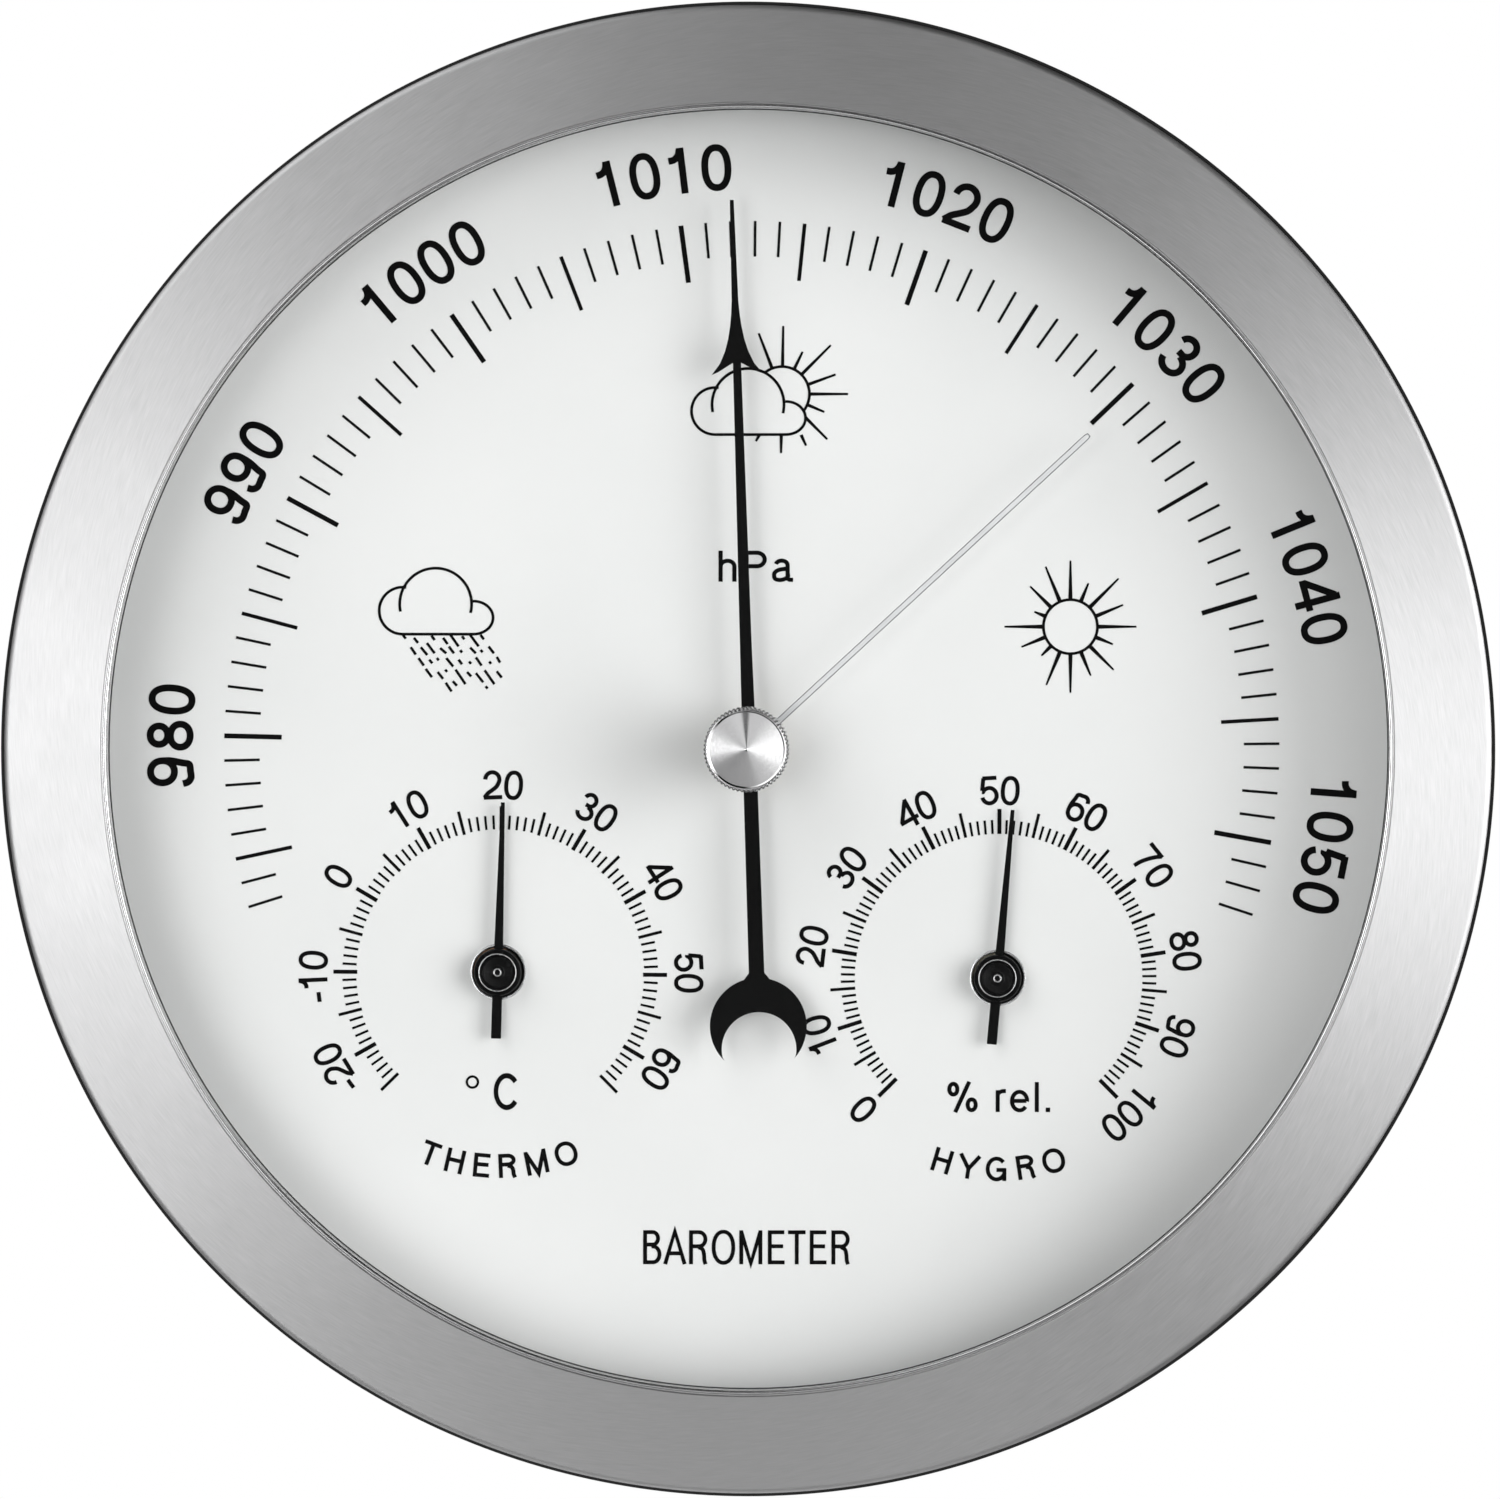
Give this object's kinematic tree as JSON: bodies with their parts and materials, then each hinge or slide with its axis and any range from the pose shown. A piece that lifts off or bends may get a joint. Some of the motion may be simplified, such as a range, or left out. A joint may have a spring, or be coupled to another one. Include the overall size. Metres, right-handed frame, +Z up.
{
  "type": "aneroid barometer",
  "caption": "Round wall barometer: brushed steel bezel and drum, white dial with thermometer and hygrometer sub-dials, capsule movement, set hand and knob.",
  "frame": {"origin": "centre of the flat rear face of the rear cover, the face that bears on the wall", "axes": "+Y into the wall (the dial faces -Y), +Z up with the scale upright, +X to the right of the reader"},
  "size_m": [0.132, 0.0437, 0.132],
  "materials": {
    "brushed_steel": "circumferentially brushed stainless steel",
    "steel_plain": "plain rolled steel",
    "dark_steel": "hardened arbor and spring steel",
    "nickel": "bright nickel plate",
    "brass": "satin lacquered brass",
    "black_lacquer": "satin black lacquer",
    "white_dial": "satin white enamel",
    "black_plastic": "moulded fine texture",
    "grey_plastic": "moulded fine texture, dark grey",
    "rubber": "matt",
    "clear_glass": "clear mineral glass",
    "bimetal": "copper-coloured bimetal strip",
    "hygro_strip": "moisture-sensitive laminated strip"
  },
  "bodies": {
    "case": {"bezel_ring": "brushed_steel", "glass_gasket": "rubber", "dial_glass": "clear_glass", "spacer_ring": "grey_plastic", "dial_plate": "white_dial", "case_drum": "steel_plain", "rear_cover": "black_plastic", "hanger_plate": "steel_plain", "hanger_rivet_1": "nickel", "hanger_rivet_2": "nickel", "movement_base_plate": "brass", "middle_plate": "brass", "top_plate": "brass", "capsule_lower": "brass", "capsule_upper": "brass", "capsule_mount_stud": "brass", "hairspring": "dark_steel", "hairspring_stud": "brass", "cover_screw_1": "nickel", "cover_screw_2": "nickel", "cover_screw_3": "nickel", "cover_screw_4": "nickel", "movement_screw_1": "nickel", "top_plate_screw_1": "nickel", "pillar_1": "brass", "movement_screw_2": "nickel", "top_plate_screw_2": "nickel", "pillar_2": "brass", "movement_screw_3": "nickel", "top_plate_screw_3": "nickel", "pillar_3": "brass", "thermo_cup": "black_plastic", "thermo_coil": "bimetal", "hygro_cup": "black_plastic", "hygro_coil": "hygro_strip"},
    "pointer_train": {"pointer_arbor": "dark_steel", "pinion": "brass", "pointer_hub": "brass", "baro_pointer": "black_lacquer", "hairspring_collet": "brass"},
    "sector": {"sector_gear": "brass", "sector_arbor": "dark_steel"},
    "rocker": {"rocker_shaft": "dark_steel", "rocker_lift_arm": "brass", "rocker_fork_arm": "brass"},
    "capsule_stud": {"capsule_top_stud": "brass"},
    "set_hand_knob": {"set_knob": "nickel", "set_knob_shaft": "nickel", "set_knob_washer": "nickel", "set_hand": "nickel"},
    "zero_screw": {"adjusting_screw": "brass"},
    "thermo_hand": {"thermo_arbor": "dark_steel", "thermo_pointer": "black_lacquer", "thermo_hub_cap": "black_lacquer"},
    "hygro_hand": {"hygro_arbor": "dark_steel", "hygro_pointer": "black_lacquer", "hygro_hub_cap": "black_lacquer"}
  },
  "joints": [
    {"name": "pointer_turn", "type": "hinge", "parent": "case", "child": "pointer_train", "pos_m": [0, -0.03, 0], "axis": [0, 1, 0], "range_deg": [-105.7, 110], "deforming": ["hairspring", "capsule_upper"]},
    {"name": "sector_turn", "type": "hinge", "parent": "case", "child": "sector", "pos_m": [0.01404, -0.0244, 0.017], "axis": [0, 1, 0], "range_deg": [-13.75, 13.21]},
    {"name": "rocker_turn", "type": "hinge", "parent": "case", "child": "rocker", "pos_m": [0, -0.0163, 0.017], "axis": [1, 0, 0], "range_deg": [-9.01, 9.37]},
    {"name": "capsule_travel", "type": "slide", "parent": "case", "child": "capsule_stud", "axis": [0, 1, 0], "range_m": [-0.0003144, 0.0003272]},
    {"name": "set_knob_turn", "type": "hinge", "parent": "case", "child": "set_hand_knob", "pos_m": [0, -0.038, 0], "axis": [0, 1, 0], "continuous": true},
    {"name": "adjusting_screw_turn", "type": "hinge", "parent": "case", "child": "zero_screw", "pos_m": [0, -0.004, 0.015], "axis": [0, 1, 0], "range_deg": [-180, 180]},
    {"name": "thermo_turn", "type": "hinge", "parent": "case", "child": "thermo_hand", "pos_m": [-0.0224, -0.03, -0.0199], "axis": [0, 1, 0], "range_deg": [-136.7, 133.3], "deforming": ["thermo_coil"]},
    {"name": "hygro_turn", "type": "hinge", "parent": "case", "child": "hygro_hand", "pos_m": [0.022, -0.03, -0.0204], "axis": [0, 1, 0], "range_deg": [-140.1, 129.9], "deforming": ["hygro_coil"]}
  ],
  "couplings": [
    {"joint": "sector_turn", "follows": "pointer_turn", "ratio": -0.125},
    {"joint": "rocker_turn", "follows": "pointer_turn", "ratio": 0.0852},
    {"joint": "capsule_travel", "follows": "pointer_turn", "m_per_rad": 0.0001704}
  ]
}
